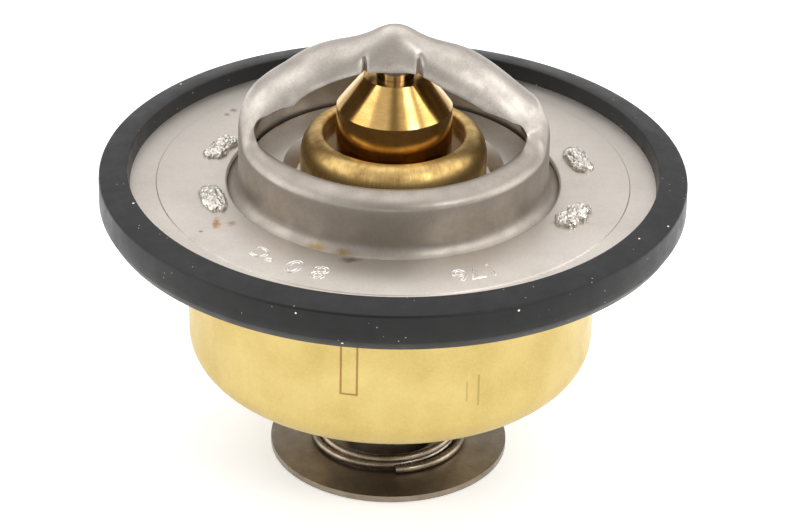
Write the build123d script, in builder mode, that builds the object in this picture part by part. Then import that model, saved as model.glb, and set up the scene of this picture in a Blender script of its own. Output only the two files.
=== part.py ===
"""Engine thermostat insert: drawn bridge, sprung main valve with wax element, and bypass valve.

Units are millimetres. Z points up along the axis and the bridge's strap runs along X.
The origin is on the axis, at the underside of the bypass disc.
"""
from build123d import *
from math import atan, cos, degrees, radians, sin, sqrt, tan
import os

# Seal ring
SEAL_TOP = 36.0
SEAL_HEIGHT = 4.6
SEAL_RADIUS = 33.5
SEAL_TOP_WIDTH = 3.8
SEAL_BOTTOM_WIDTH = 4.6
SEAL_TOP_BEVEL = 0.35
SEAL_LEAD_IN = 0.77
SEAL_LEAD_IN_HEIGHT = 1.2

# Flange ring
FLANGE_DROP = 1.1
FLANGE_SHEET = 0.8
FLANGE_GRIP = 1.9
FLANGE_HOLE_GAP = 1.27
FLANGE_RIM_BAND = 2.66
FLANGE_RIM_STEP = 0.15
FLANGE_EDGE_RADIUS = 0.25
FLANGE_RELIEF = 0.06

# Drawn bridge
BRIDGE_SHEET = 0.7
BRIDGE_WALL_RADIUS = 17.67
BRIDGE_BEND_RADIUS = 2.1
BRIDGE_FOOT_WIDTH = 4.63
SHOULDER_RADIUS = 1.5
SILL_RADIUS = 15.2
SILL_HEIGHT = 5.5
STRAP_INSET = 0.2
# Shares of the wall's radius and of the strap's rise, from the foot to the middle
STRAP_CREST = [(0.988, 0.18), (0.93, 0.38), (0.82, 0.525), (0.66, 0.665), (0.47, 0.8), (0.28, 0.88),
               (0.13, 0.945), (0, 0.98)]
STRAP_FOOT_HALF_WIDTH = 3.7
STRAP_ARM_HALF_WIDTH = 3.9
STRAP_ROOT_DROP = 0.4
STRAP_FOOT_DROP = 2.2
STRAP_ARM_DROP = 2.9
STRAP_MID_DROP = 1.3
STRAP_ROOT_SHARE = 0.12
STRAP_ARM_SHARE = 0.5
STRAP_MID_SHARE = 0.82
STRAP_STATIONS = 9
NIPPLE_RISE = 18.15
NIPPLE_SHOULDER_RADIUS = 1.8
NIPPLE_SHOULDER_DROP = 0.95
BOSS_RADIUS = 2.9
BOSS_BOTTOM = 13.78
SOCKET_DEPTH = 2.1

# Support cup
CUP_SETBACK = 1.0
CUP_SHEET = 0.9
CUP_CORNER_RADIUS = 4.0
CUP_CORNER_DROP = 20.0
CUP_SLOPE = 20.0
CUP_FLAT_RADIUS = 13.0
KIDNEY_COUNT = 4
KIDNEY_RADIUS = 16.8
KIDNEY_WIDTH = 4.6
KIDNEY_ANGLE = 44.0
TAB_ANGLE = 18.0
TAB_WIDTH = 4.6
TAB_REACH = 3.2
TAB_FOLD = 0.7
TAB_SLOT_CLEARANCE = 0.08

# Piston and its guide
PISTON_RADIUS = 2.1
PISTON_TIP = 17.2
PISTON_TIP_CHAMFER = 0.6
PISTON_CLEARANCE = 0.05
GUIDE_TOP = 48.15
GUIDE_TOP_RADIUS = 3.57
GUIDE_CONE_BOTTOM = 44.31
GUIDE_BODY_RADIUS = 6.55
GUIDE_FLANGE_THICKNESS = 2.1
GUIDE_SEAL_RADIUS = 3.8
GUIDE_SEAL_HEIGHT = 2.5

# Wax element
POT_BOTTOM = 8.2
POT_RADIUS = 9.4
POT_WALL = 1.0
POT_FLOOR = 4.0
POT_BOTTOM_CHAMFER = 0.6
COLLAR_RADIUS = 10.6
COLLAR_BORE_RADIUS = 9.5
COLLAR_TOP = 41.3
COLLAR_LIP_RADIUS = 8.03
COLLAR_LIP_THICKNESS = 1.8
COLLAR_ROUND = 1.1
BOOT_FLANGE = 0.9
BOOT_RADIUS = 4.6
BOOT_BORE_CLEARANCE = 0.1
BOOT_TIP_GAP = 0.9
BOOT_TIP_WALL = 1.8
WASHER_THICKNESS = 0.5

# Main valve plate and its retaining ring
PLATE_TOP = 36.43
PLATE_SHEET = 0.8
PLATE_INNER_DROP = 1.43
PLATE_RADIUS = 16.8
PLATE_EDGE_RADIUS = 0.4
PLATE_DISH_OUTER = 12.6
PLATE_DISH_INNER = 11.2
SEAT_ANGLE = 45.0
SEAT_CLEARANCE = 0.1
SEAT_LIP_REACH = 0.55
RETAINER_RADIUS = 12.3
RETAINER_THICKNESS = 0.8

# Main spring and the bush that guides the element
BUSH_WALL = 1.14
BUSH_CLEARANCE = 0.06
BUSH_FLANGE_RADIUS = 12.9
BUSH_FLANGE_THICKNESS = 0.6
BUSH_RISE = 2.3
BUSH_DROP = 0.4
MAIN_WIRE_RADIUS = 1.0
MAIN_SPRING_BOTTOM_RADIUS = 11.75
MAIN_SPRING_TOP_RADIUS = 14.2
MAIN_SPRING_TURNS = 6.0

# Bypass valve
DISC_RADIUS = 13.86
DISC_SHEET = 0.74
HUB_RADIUS = 5.2
HUB_HEIGHT = 1.94
HUB_TAPER = 0.3
STEM_RADIUS = 2.5
STEM_CLEARANCE = 0.05
STEM_DEPTH = 3.5
STEM_END_GAP = 0.15
CLIP_RADIUS = 3.9
CLIP_THICKNESS = 0.6
CLIP_GROOVE = 0.35
SPRING_SEAT_RADIUS = 7.2
SPRING_SEAT_THICKNESS = 0.7
SPRING_SEAT_LIP = 0.5
BYPASS_WIRE_RADIUS = 0.475
BYPASS_WIRE_LIFT = 0.26
BYPASS_SPRING_BOTTOM_RADIUS = 8.7
BYPASS_SPRING_TOP_RADIUS = 5.8
BYPASS_SPRING_TURNS = 4.0

# Levels and radii that follow from the sizes above
seal_bottom = SEAL_TOP - SEAL_HEIGHT
flange_top = SEAL_TOP - FLANGE_DROP
flange_bottom = flange_top - FLANGE_SHEET
seal_top_inner_radius = SEAL_RADIUS - SEAL_TOP_WIDTH
seal_bottom_inner_radius = SEAL_RADIUS - SEAL_BOTTOM_WIDTH
flange_radius = seal_top_inner_radius + FLANGE_GRIP
flange_rim_radius = seal_top_inner_radius - FLANGE_RIM_BAND
flange_hole_radius = BRIDGE_WALL_RADIUS + FLANGE_HOLE_GAP
foot_bottom = flange_bottom - BRIDGE_SHEET
bend_centre_radius = BRIDGE_WALL_RADIUS + BRIDGE_BEND_RADIUS
bend_centre_z = flange_bottom + BRIDGE_BEND_RADIUS
foot_radius = bend_centre_radius + BRIDGE_FOOT_WIDTH
bend_rise = BRIDGE_BEND_RADIUS - sqrt(BRIDGE_BEND_RADIUS ** 2 - (bend_centre_radius - flange_hole_radius) ** 2)
wall_inner_radius = BRIDGE_WALL_RADIUS - BRIDGE_SHEET
sill_top = SEAL_TOP + SILL_HEIGHT
shoulder_z = sill_top - SHOULDER_RADIUS
shoulder_centre_radius = BRIDGE_WALL_RADIUS - SHOULDER_RADIUS
nipple_top = SEAL_TOP + NIPPLE_RISE
boss_bottom = SEAL_TOP + BOSS_BOTTOM
piston_top = boss_bottom + SOCKET_DEPTH
cup_radius = foot_radius - CUP_SETBACK
cup_inner_radius = cup_radius - CUP_SHEET
tab_inner_radius = cup_radius - TAB_REACH
corner_z = SEAL_TOP - CUP_CORNER_DROP
corner_centre_radius = cup_radius - CUP_CORNER_RADIUS
corner_angle = radians(90.0 - CUP_SLOPE)
cone_top_radius = corner_centre_radius + CUP_CORNER_RADIUS * cos(corner_angle)
cone_top_z = corner_z - CUP_CORNER_RADIUS * sin(corner_angle)
cup_bottom = cone_top_z - (cone_top_radius - CUP_FLAT_RADIUS) * tan(radians(CUP_SLOPE))
cup_floor = cup_bottom + CUP_SHEET
guide_bore_radius = PISTON_RADIUS + PISTON_CLEARANCE
collar_lip_bottom = COLLAR_TOP - COLLAR_LIP_THICKNESS
guide_flange_bottom = collar_lip_bottom - GUIDE_FLANGE_THICKNESS
boot_top = guide_flange_bottom - WASHER_THICKNESS
collar_step = boot_top - BOOT_FLANGE
pot_bore_radius = POT_RADIUS - POT_WALL
pot_floor_top = POT_BOTTOM + POT_FLOOR
boot_bore_radius = PISTON_RADIUS + BOOT_BORE_CLEARANCE
boot_bore_bottom = PISTON_TIP - BOOT_TIP_GAP
boot_bottom = boot_bore_bottom - BOOT_TIP_WALL
plate_bottom = PLATE_TOP - PLATE_SHEET
plate_inner_top = PLATE_TOP - PLATE_INNER_DROP
plate_inner_bottom = plate_inner_top - PLATE_SHEET
retainer_bottom = plate_inner_bottom - RETAINER_THICKNESS
bush_bore_radius = POT_RADIUS + BUSH_CLEARANCE
bush_radius = bush_bore_radius + BUSH_WALL
bush_seat = cup_floor + BUSH_FLANGE_THICKNESS
hub_recess_top = HUB_HEIGHT - DISC_SHEET
spring_seat_bottom = POT_BOTTOM - SPRING_SEAT_THICKNESS


def tab_turns():
    """Give the four tab angles, mirrored about both planes."""
    return [side + swing for side in (0, 180) for swing in (-TAB_ANGLE, TAB_ANGLE)]


def tab_pads(level, inner_radius, outer_radius, width):
    """Draw the four pads of a ring that lie beside the strap's feet."""
    with BuildSketch(Plane.XY.offset(level)) as pads:
        for turn in tab_turns():
            with Locations(Location((0, 0, 0), (0, 0, turn))):
                Rectangle(outer_radius + CUP_SHEET, width, align=(Align.MIN, Align.CENTER))
        Circle(outer_radius, mode=Mode.INTERSECT)
        Circle(inner_radius, mode=Mode.SUBTRACT)
    return pads.sketch


def tab_slots(level):
    """Draw the four slots that the tabs pass through."""
    return tab_pads(level, cup_inner_radius - TAB_SLOT_CLEARANCE, cup_radius + TAB_SLOT_CLEARANCE,
                    TAB_WIDTH + 2 * TAB_SLOT_CLEARANCE)


def half_section(*points):
    """Draw a closed outline of radius and height beside the axis."""
    with BuildSketch(Plane.XZ) as section:
        Polygon(*points, align=None)
    return section.sketch


def coil_path(bottom, top, bottom_radius, top_radius, turns):
    """Draw the centre line of a conical coil."""
    height = top - bottom
    lean = degrees(atan((top_radius - bottom_radius) / height))
    return Helix(height / turns, height, bottom_radius, center=(0, 0, bottom), cone_angle=lean)


# Seal ring: rubber channel that grips the flange's rim
with BuildPart() as seal_ring:
    revolve(half_section(
        (seal_top_inner_radius, SEAL_TOP),
        (SEAL_RADIUS - SEAL_TOP_BEVEL, SEAL_TOP),
        (SEAL_RADIUS, SEAL_TOP - SEAL_TOP_BEVEL),
        (SEAL_RADIUS, seal_bottom + SEAL_LEAD_IN_HEIGHT),
        (SEAL_RADIUS - SEAL_LEAD_IN, seal_bottom),
        (seal_bottom_inner_radius, seal_bottom),
        (seal_bottom_inner_radius, flange_bottom),
        (flange_radius, flange_bottom),
        (flange_radius, flange_top - FLANGE_RIM_STEP),
        (seal_top_inner_radius, flange_top - FLANGE_RIM_STEP),
    ), axis=Axis.Z)
seal_ring.part.label = "seal_ring"

# Flange ring: blanked plate with a coined rim and four slots for the cup's tabs
with BuildPart() as flange_ring:
    revolve(half_section(
        (flange_hole_radius, flange_bottom + bend_rise + FLANGE_RELIEF),
        (bend_centre_radius, flange_bottom),
        (flange_radius, flange_bottom),
        (flange_radius, flange_top - FLANGE_RIM_STEP),
        (flange_rim_radius, flange_top - FLANGE_RIM_STEP),
        (flange_rim_radius - FLANGE_RIM_STEP, flange_top),
        (flange_hole_radius, flange_top),
    ), axis=Axis.Z)
    hole_edges = flange_ring.edges().filter_by(GeomType.CIRCLE).group_by(SortBy.RADIUS)[0]
    fillet(hole_edges.sort_by(Axis.Z)[-1], FLANGE_EDGE_RADIUS)
    extrude(tab_slots(flange_bottom), amount=FLANGE_SHEET, mode=Mode.SUBTRACT)
flange_ring.part.label = "flange_ring"

# Bridge: one drawn sheet with the valve seat at its bend, the wall, the shoulder and the strap
strap_rise = NIPPLE_RISE - (shoulder_z - SEAL_TOP)
crest_half = [(BRIDGE_WALL_RADIUS - STRAP_INSET, shoulder_z)]
for radius_share, rise_share in STRAP_CREST:
    crest_half.append((radius_share * BRIDGE_WALL_RADIUS, shoulder_z + rise_share * strap_rise))
with BuildLine(Plane.XZ) as crest:
    Spline(*crest_half, tangents=[(0, 1), (-1, 0)])


def blend(start, end, share):
    """Ease from one value to another."""
    share = min(max(share, 0.0), 1.0)
    return start + (end - start) * share * share * (3 - 2 * share)


def strap_section(place):
    """Draw the arched sheet across the strap, from its foot at 0 to the middle at 1."""
    if place < STRAP_ARM_SHARE:
        half_width = blend(STRAP_FOOT_HALF_WIDTH, STRAP_ARM_HALF_WIDTH, place / STRAP_ARM_SHARE)
        drop = blend(STRAP_FOOT_DROP, STRAP_ARM_DROP, place / STRAP_ARM_SHARE)
        drop = blend(STRAP_ROOT_DROP, drop, place / STRAP_ROOT_SHARE)
    else:
        share = (place - STRAP_ARM_SHARE) / (STRAP_MID_SHARE - STRAP_ARM_SHARE)
        half_width = blend(STRAP_ARM_HALF_WIDTH, BOSS_RADIUS, share)
        drop = blend(STRAP_ARM_DROP, STRAP_MID_DROP, share)
    arch_radius = (half_width ** 2 + drop ** 2) / (2 * drop)
    shrink = (arch_radius - BRIDGE_SHEET) / arch_radius
    inner_drop = arch_radius - (arch_radius - drop) * shrink
    plane = Plane(origin=crest.line @ place, x_dir=(0, 1, 0), z_dir=crest.line % place)
    with BuildSketch(plane) as section:
        with BuildLine():
            top = ThreePointArc((-half_width, drop), (0, 0), (half_width, drop))
            under = ThreePointArc((half_width * shrink, inner_drop), (0, BRIDGE_SHEET),
                                  (-half_width * shrink, inner_drop))
            Line(top @ 1, under @ 0)
            Line(under @ 1, top @ 0)
        make_face()
    return section.sketch


with BuildPart() as bridge:
    loft([strap_section(step / STRAP_STATIONS) for step in range(STRAP_STATIONS + 1)])
    mirror(about=Plane.YZ)
    with BuildSketch(Plane.XZ):
        with BuildLine():
            foot = Polyline((foot_radius, foot_bottom), (foot_radius, flange_bottom),
                            (bend_centre_radius, flange_bottom))
            bend = CenterArc((bend_centre_radius, bend_centre_z), BRIDGE_BEND_RADIUS, 270, -90)
            shoulder = CenterArc((shoulder_centre_radius, shoulder_z), SHOULDER_RADIUS, 0, 90)
            Line(bend @ 1, shoulder @ 0)
            inner_shoulder = CenterArc((shoulder_centre_radius, shoulder_z),
                                       SHOULDER_RADIUS - BRIDGE_SHEET, 90, -90)
            Polyline(shoulder @ 1, (SILL_RADIUS, sill_top), (SILL_RADIUS, sill_top - BRIDGE_SHEET),
                     inner_shoulder @ 0)
            seat = CenterArc((bend_centre_radius, bend_centre_z), BRIDGE_BEND_RADIUS + BRIDGE_SHEET, 180, 90)
            Line(inner_shoulder @ 1, seat @ 0)
            Line(seat @ 1, foot @ 0)
        make_face()
    revolve(axis=Axis.Z)
    with BuildSketch(Plane.XY.offset(shoulder_z)):
        Rectangle(2 * (wall_inner_radius - STRAP_INSET), 2 * (STRAP_FOOT_HALF_WIDTH - 2 * BRIDGE_SHEET))
    extrude(amount=SHOULDER_RADIUS, mode=Mode.SUBTRACT)
    with BuildSketch(Plane.XZ):
        with BuildLine():
            flank = Spline((0, nipple_top), (NIPPLE_SHOULDER_RADIUS, nipple_top - NIPPLE_SHOULDER_DROP),
                           (BOSS_RADIUS, boss_bottom + SOCKET_DEPTH / 2),
                           tangents=[(1, 0), (0, -1)])
            Polyline(flank @ 1, (BOSS_RADIUS, boss_bottom), (0, boss_bottom), flank @ 0)
        make_face()
    revolve(axis=Axis.Z)
    with BuildSketch(Plane.XY.offset(boss_bottom)):
        Circle(PISTON_RADIUS)
    extrude(amount=SOCKET_DEPTH, mode=Mode.SUBTRACT)
    extrude(tab_slots(foot_bottom), amount=BRIDGE_SHEET, mode=Mode.SUBTRACT)
bridge.part.label = "bridge"

# Support cup: drawn steel with four kidney openings and four tabs peened over the flange
with BuildPart() as support_cup:
    with BuildSketch(Plane.XZ):
        with BuildLine():
            wall = Polyline((cup_inner_radius, foot_bottom), (cup_radius, foot_bottom), (cup_radius, corner_z))
            outer_corner = CenterArc((corner_centre_radius, corner_z), CUP_CORNER_RADIUS, 0, CUP_SLOPE - 90)
            inner_corner = CenterArc((corner_centre_radius, corner_z), CUP_CORNER_RADIUS - CUP_SHEET,
                                     CUP_SLOPE - 90, 90 - CUP_SLOPE)
            inner_flat_radius = inner_corner.start_point().X - (
                (inner_corner.start_point().Y - cup_floor) / tan(radians(CUP_SLOPE)))
            Polyline(outer_corner @ 1, (CUP_FLAT_RADIUS, cup_bottom), (bush_radius, cup_bottom),
                     (bush_radius, cup_floor), (inner_flat_radius, cup_floor), inner_corner @ 0)
            Line(inner_corner @ 1, wall @ 0)
        make_face()
    revolve(axis=Axis.Z)
    with BuildSketch(Plane.XY.offset(cup_bottom)):
        for kidney in range(KIDNEY_COUNT):
            middle = (kidney + 0.5) * 360 / KIDNEY_COUNT
            SlotArc(CenterArc((0, 0), KIDNEY_RADIUS, middle - KIDNEY_ANGLE / 2, KIDNEY_ANGLE,
                              mode=Mode.PRIVATE), KIDNEY_WIDTH)
    extrude(amount=CUP_CORNER_DROP / 2, mode=Mode.SUBTRACT)
    extrude(tab_pads(foot_bottom, cup_inner_radius, cup_radius, TAB_WIDTH), amount=flange_top - foot_bottom)
    extrude(tab_pads(flange_top, tab_inner_radius, cup_radius, TAB_WIDTH), amount=TAB_FOLD)
support_cup.part.label = "support_cup"

# Piston: hardened pin held in the bridge's socket
with BuildPart() as piston:
    with BuildSketch(Plane.XY.offset(PISTON_TIP)):
        Circle(PISTON_RADIUS)
    extrude(amount=piston_top - PISTON_TIP)
    chamfer(piston.edges().sort_by(Axis.Z)[0], PISTON_TIP_CHAMFER)
piston.part.label = "piston"

# Piston guide: turned brass nose with a flange under the pot's rolled lip
with BuildPart() as piston_guide:
    revolve(half_section(
        (guide_bore_radius, guide_flange_bottom + GUIDE_SEAL_HEIGHT),
        (guide_bore_radius, GUIDE_TOP),
        (GUIDE_TOP_RADIUS, GUIDE_TOP),
        (GUIDE_BODY_RADIUS, GUIDE_CONE_BOTTOM),
        (GUIDE_BODY_RADIUS, collar_lip_bottom),
        (COLLAR_BORE_RADIUS, collar_lip_bottom),
        (COLLAR_BORE_RADIUS, guide_flange_bottom),
        (GUIDE_SEAL_RADIUS, guide_flange_bottom),
        (GUIDE_SEAL_RADIUS, guide_flange_bottom + GUIDE_SEAL_HEIGHT),
    ), axis=Axis.Z)
piston_guide.part.label = "piston_guide"

# Guide seal: rubber wiper round the piston
with BuildPart() as guide_seal:
    with BuildSketch(Plane.XY.offset(guide_flange_bottom)):
        Circle(GUIDE_SEAL_RADIUS)
        Circle(guide_bore_radius, mode=Mode.SUBTRACT)
    extrude(amount=GUIDE_SEAL_HEIGHT)
guide_seal.part.label = "guide_seal"

# Back-up washer between the guide and the boot
with BuildPart() as backup_washer:
    with BuildSketch(Plane.XY.offset(boot_top)):
        Circle(COLLAR_BORE_RADIUS)
        Circle(boot_bore_radius, mode=Mode.SUBTRACT)
    extrude(amount=WASHER_THICKNESS)
backup_washer.part.label = "backup_washer"

# Rubber boot that keeps the wax off the piston
with BuildPart() as rubber_boot:
    revolve(half_section(
        (0, boot_bottom),
        (BOOT_RADIUS, boot_bottom),
        (BOOT_RADIUS, collar_step),
        (COLLAR_BORE_RADIUS, collar_step),
        (COLLAR_BORE_RADIUS, boot_top),
        (boot_bore_radius, boot_top),
        (boot_bore_radius, boot_bore_bottom),
        (0, boot_bore_bottom),
    ), axis=Axis.Z)
    fillet(rubber_boot.edges().sort_by(Axis.Z)[0], BOOT_TIP_WALL)
rubber_boot.part.label = "rubber_boot"

# Wax pot: drawn brass cup whose collar is rolled over the guide's flange
with BuildPart() as wax_pot:
    revolve(half_section(
        (0, POT_BOTTOM),
        (POT_RADIUS, POT_BOTTOM),
        (POT_RADIUS, plate_inner_top),
        (COLLAR_RADIUS, plate_inner_top),
        (COLLAR_RADIUS, COLLAR_TOP),
        (COLLAR_LIP_RADIUS, COLLAR_TOP),
        (COLLAR_LIP_RADIUS, collar_lip_bottom),
        (COLLAR_BORE_RADIUS, collar_lip_bottom),
        (COLLAR_BORE_RADIUS, collar_step),
        (pot_bore_radius, collar_step),
        (pot_bore_radius, pot_floor_top),
        (0, pot_floor_top),
    ), axis=Axis.Z)
    fillet(wax_pot.edges().group_by(Axis.Z)[-1], COLLAR_ROUND)
    chamfer(wax_pot.edges().sort_by(Axis.Z)[0], POT_BOTTOM_CHAMFER)
    with BuildSketch(Plane.XY.offset(POT_BOTTOM)):
        Circle(STEM_RADIUS)
    extrude(amount=STEM_DEPTH, mode=Mode.SUBTRACT)
wax_pot.part.label = "wax_pot"

# Wax charge that fills the pot round the boot
with BuildPart() as wax_charge:
    with BuildSketch(Plane.XY.offset(pot_floor_top)):
        Circle(pot_bore_radius)
    extrude(amount=collar_step - pot_floor_top)
    add(rubber_boot.part, mode=Mode.SUBTRACT)
    with BuildSketch(Plane.XY.offset(boot_bore_bottom)):
        Circle(boot_bore_radius)
    extrude(amount=collar_step - boot_bore_bottom, mode=Mode.SUBTRACT)
wax_charge.part.label = "wax_charge"

# Main valve plate: dished sheet with a conical lip that seats on the bridge's bend
seat_angle = radians(SEAT_ANGLE)
seat_gap_radius = BRIDGE_BEND_RADIUS + BRIDGE_SHEET + SEAT_CLEARANCE
seat_radius = bend_centre_radius - seat_gap_radius * sin(seat_angle)
seat_z = bend_centre_z - seat_gap_radius * cos(seat_angle)
lip_top_z = seat_z + (seat_radius - PLATE_RADIUS) / tan(seat_angle)
lip_end_radius = seat_radius + SEAT_LIP_REACH
lip_end_z = seat_z - SEAT_LIP_REACH / tan(seat_angle)
dish_slope = (PLATE_DISH_OUTER - PLATE_DISH_INNER) / PLATE_INNER_DROP
with BuildPart() as valve_plate:
    revolve(half_section(
        (POT_RADIUS, plate_inner_bottom),
        (POT_RADIUS, plate_inner_top),
        (PLATE_DISH_INNER, plate_inner_top),
        (PLATE_DISH_OUTER, PLATE_TOP),
        (PLATE_RADIUS, PLATE_TOP),
        (PLATE_RADIUS, lip_top_z),
        (lip_end_radius, lip_end_z),
        (lip_end_radius - PLATE_SHEET * cos(seat_angle), lip_end_z - PLATE_SHEET * sin(seat_angle)),
        (PLATE_RADIUS - PLATE_SHEET, lip_top_z - PLATE_SHEET / 2),
        (PLATE_RADIUS - PLATE_SHEET, plate_bottom),
        (PLATE_DISH_OUTER + PLATE_SHEET / 2, plate_bottom),
        (PLATE_DISH_OUTER + PLATE_SHEET / 2 - PLATE_INNER_DROP * dish_slope, plate_inner_bottom),
    ), axis=Axis.Z)
    top_edges = valve_plate.edges().filter_by(GeomType.CIRCLE).group_by(Axis.Z)[-1]
    fillet(top_edges.sort_by(SortBy.RADIUS)[-1], PLATE_EDGE_RADIUS)
valve_plate.part.label = "valve_plate"

# Retaining ring pressed on the pot under the plate
with BuildPart() as valve_retainer:
    with BuildSketch(Plane.XY.offset(retainer_bottom)):
        Circle(RETAINER_RADIUS)
        Circle(POT_RADIUS, mode=Mode.SUBTRACT)
    extrude(amount=RETAINER_THICKNESS)
valve_retainer.part.label = "valve_retainer"

# Guide bush in the cup's floor, with the main spring's seat on its flange
with BuildPart() as guide_bush:
    revolve(half_section(
        (bush_bore_radius, cup_bottom - BUSH_DROP),
        (bush_radius, cup_bottom - BUSH_DROP),
        (bush_radius, cup_floor),
        (BUSH_FLANGE_RADIUS - BUSH_FLANGE_THICKNESS, cup_floor),
        (BUSH_FLANGE_RADIUS - BUSH_FLANGE_THICKNESS, bush_seat),
        (bush_radius, bush_seat),
        (bush_radius, bush_seat + BUSH_RISE),
        (bush_bore_radius, bush_seat + BUSH_RISE),
    ), axis=Axis.Z)
guide_bush.part.label = "guide_bush"

# Main spring between the guide bush and the valve plate
with BuildPart() as main_spring:
    with BuildLine():
        main_coil = coil_path(bush_seat, plate_bottom, MAIN_SPRING_BOTTOM_RADIUS,
                              MAIN_SPRING_TOP_RADIUS, MAIN_SPRING_TURNS)
    with BuildSketch(Plane(origin=main_coil @ 0, z_dir=main_coil % 0)):
        Circle(MAIN_WIRE_RADIUS)
    sweep(is_frenet=True)
    split(bisect_by=Plane.XY.offset(bush_seat), keep=Keep.TOP)
    split(bisect_by=Plane.XY.offset(plate_bottom), keep=Keep.BOTTOM)
main_spring.part.label = "main_spring"

# Bypass stem pressed in the pot, with a groove for the clip
stem_end = STEM_END_GAP
groove_top = hub_recess_top
groove_bottom = groove_top - CLIP_THICKNESS
with BuildPart() as bypass_stem:
    revolve(half_section(
        (0, stem_end),
        (STEM_RADIUS, stem_end),
        (STEM_RADIUS, groove_bottom),
        (STEM_RADIUS - CLIP_GROOVE, groove_bottom),
        (STEM_RADIUS - CLIP_GROOVE, groove_top),
        (STEM_RADIUS, groove_top),
        (STEM_RADIUS, POT_BOTTOM + STEM_DEPTH),
        (0, POT_BOTTOM + STEM_DEPTH),
    ), axis=Axis.Z)
bypass_stem.part.label = "bypass_stem"

# Stem clip: spring-steel horseshoe in the stem's groove
with BuildPart() as stem_clip:
    with BuildSketch(Plane.XY.offset(groove_bottom)):
        Circle(CLIP_RADIUS)
        Circle(STEM_RADIUS - CLIP_GROOVE, mode=Mode.SUBTRACT)
        Rectangle(CLIP_RADIUS, STEM_RADIUS, align=(Align.MIN, Align.CENTER), mode=Mode.SUBTRACT)
    extrude(amount=CLIP_THICKNESS)
stem_clip.part.label = "stem_clip"

# Upper seat of the bypass spring, a cupped washer under the pot
with BuildPart() as bypass_spring_seat:
    revolve(half_section(
        (STEM_RADIUS, spring_seat_bottom),
        (SPRING_SEAT_RADIUS - SPRING_SEAT_THICKNESS, spring_seat_bottom),
        (SPRING_SEAT_RADIUS - SPRING_SEAT_THICKNESS, spring_seat_bottom - SPRING_SEAT_LIP),
        (SPRING_SEAT_RADIUS, spring_seat_bottom - SPRING_SEAT_LIP),
        (SPRING_SEAT_RADIUS, POT_BOTTOM),
        (STEM_RADIUS, POT_BOTTOM),
    ), axis=Axis.Z)
bypass_spring_seat.part.label = "bypass_spring_seat"

# Bypass spring between its seat and the disc
with BuildPart() as bypass_spring:
    with BuildLine():
        bypass_coil = coil_path(DISC_SHEET + BYPASS_WIRE_LIFT, spring_seat_bottom - BYPASS_WIRE_LIFT,
                                BYPASS_SPRING_BOTTOM_RADIUS, BYPASS_SPRING_TOP_RADIUS,
                                BYPASS_SPRING_TURNS)
    with BuildSketch(Plane(origin=bypass_coil @ 0, z_dir=bypass_coil % 0)):
        Circle(BYPASS_WIRE_RADIUS)
    sweep(is_frenet=True)
    split(bisect_by=Plane.XY.offset(DISC_SHEET), keep=Keep.TOP)
    split(bisect_by=Plane.XY.offset(spring_seat_bottom), keep=Keep.BOTTOM)
bypass_spring.part.label = "bypass_spring"

# Bypass disc: pressed sheet with a raised hub that slides on the stem
with BuildPart() as bypass_disc:
    revolve(half_section(
        (HUB_RADIUS - DISC_SHEET, 0),
        (DISC_RADIUS, 0),
        (DISC_RADIUS, DISC_SHEET),
        (HUB_RADIUS, DISC_SHEET),
        (HUB_RADIUS - HUB_TAPER, HUB_HEIGHT),
        (STEM_RADIUS + STEM_CLEARANCE, HUB_HEIGHT),
        (STEM_RADIUS + STEM_CLEARANCE, hub_recess_top),
        (HUB_RADIUS - DISC_SHEET - HUB_TAPER, hub_recess_top),
    ), axis=Axis.Z)
bypass_disc.part.label = "bypass_disc"

pieces = [
    seal_ring, flange_ring, bridge, support_cup, piston, piston_guide, guide_seal, backup_washer,
    rubber_boot, wax_pot, wax_charge, valve_plate, valve_retainer, guide_bush, main_spring,
    bypass_stem, stem_clip, bypass_spring_seat, bypass_spring, bypass_disc,
]
os.makedirs("parts", exist_ok=True)
for piece in pieces:
    export_step(piece.part, "parts/" + piece.part.label + ".step")
    print(piece.part.label, round(piece.part.volume, 2), len(piece.part.solids()))
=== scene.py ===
"""Engine thermostat insert, dressed for the picture.

The CAD's guide, piston, valve plate, bypass disc and inner pieces keep their shapes and get their
finishes here. The flange, the seal, the wax pot, the drawn bridge, the two wound springs, the cup with
its peened tabs and the stamped numbers are modelled here. Lengths are in metres, Z points up along the
axis, and the bridge's strap runs along X.
"""

import math

import bpy
from mathutils import Matrix, Vector, noise


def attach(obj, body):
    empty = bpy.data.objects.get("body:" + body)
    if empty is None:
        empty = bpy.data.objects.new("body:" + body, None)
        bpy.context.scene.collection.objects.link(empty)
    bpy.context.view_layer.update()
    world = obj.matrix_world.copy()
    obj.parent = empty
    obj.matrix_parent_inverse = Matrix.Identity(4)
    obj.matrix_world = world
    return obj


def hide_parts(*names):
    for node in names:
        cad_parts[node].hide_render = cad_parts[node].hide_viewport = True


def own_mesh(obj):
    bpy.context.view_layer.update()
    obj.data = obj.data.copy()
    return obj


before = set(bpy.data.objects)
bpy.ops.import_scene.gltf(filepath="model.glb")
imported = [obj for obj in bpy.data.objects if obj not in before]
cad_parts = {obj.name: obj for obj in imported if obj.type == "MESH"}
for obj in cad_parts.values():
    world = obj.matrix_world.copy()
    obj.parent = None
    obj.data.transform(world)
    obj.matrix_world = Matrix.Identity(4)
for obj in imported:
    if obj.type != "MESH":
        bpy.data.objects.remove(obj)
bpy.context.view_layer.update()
bpy.ops.object.select_all(action="DESELECT")

MM = 0.001
RUBBER_TOP = 36.0


# Materials

def linear(code):
    """Turn an sRGB hex colour to the linear values that the shaders take."""
    channels = []
    for start in (1, 3, 5):
        value = int(code[start:start + 2], 16) / 255
        channels.append(value / 12.92 if value <= 0.04045 else ((value + 0.055) / 1.055) ** 2.4)
    return (*channels, 1.0)


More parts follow.
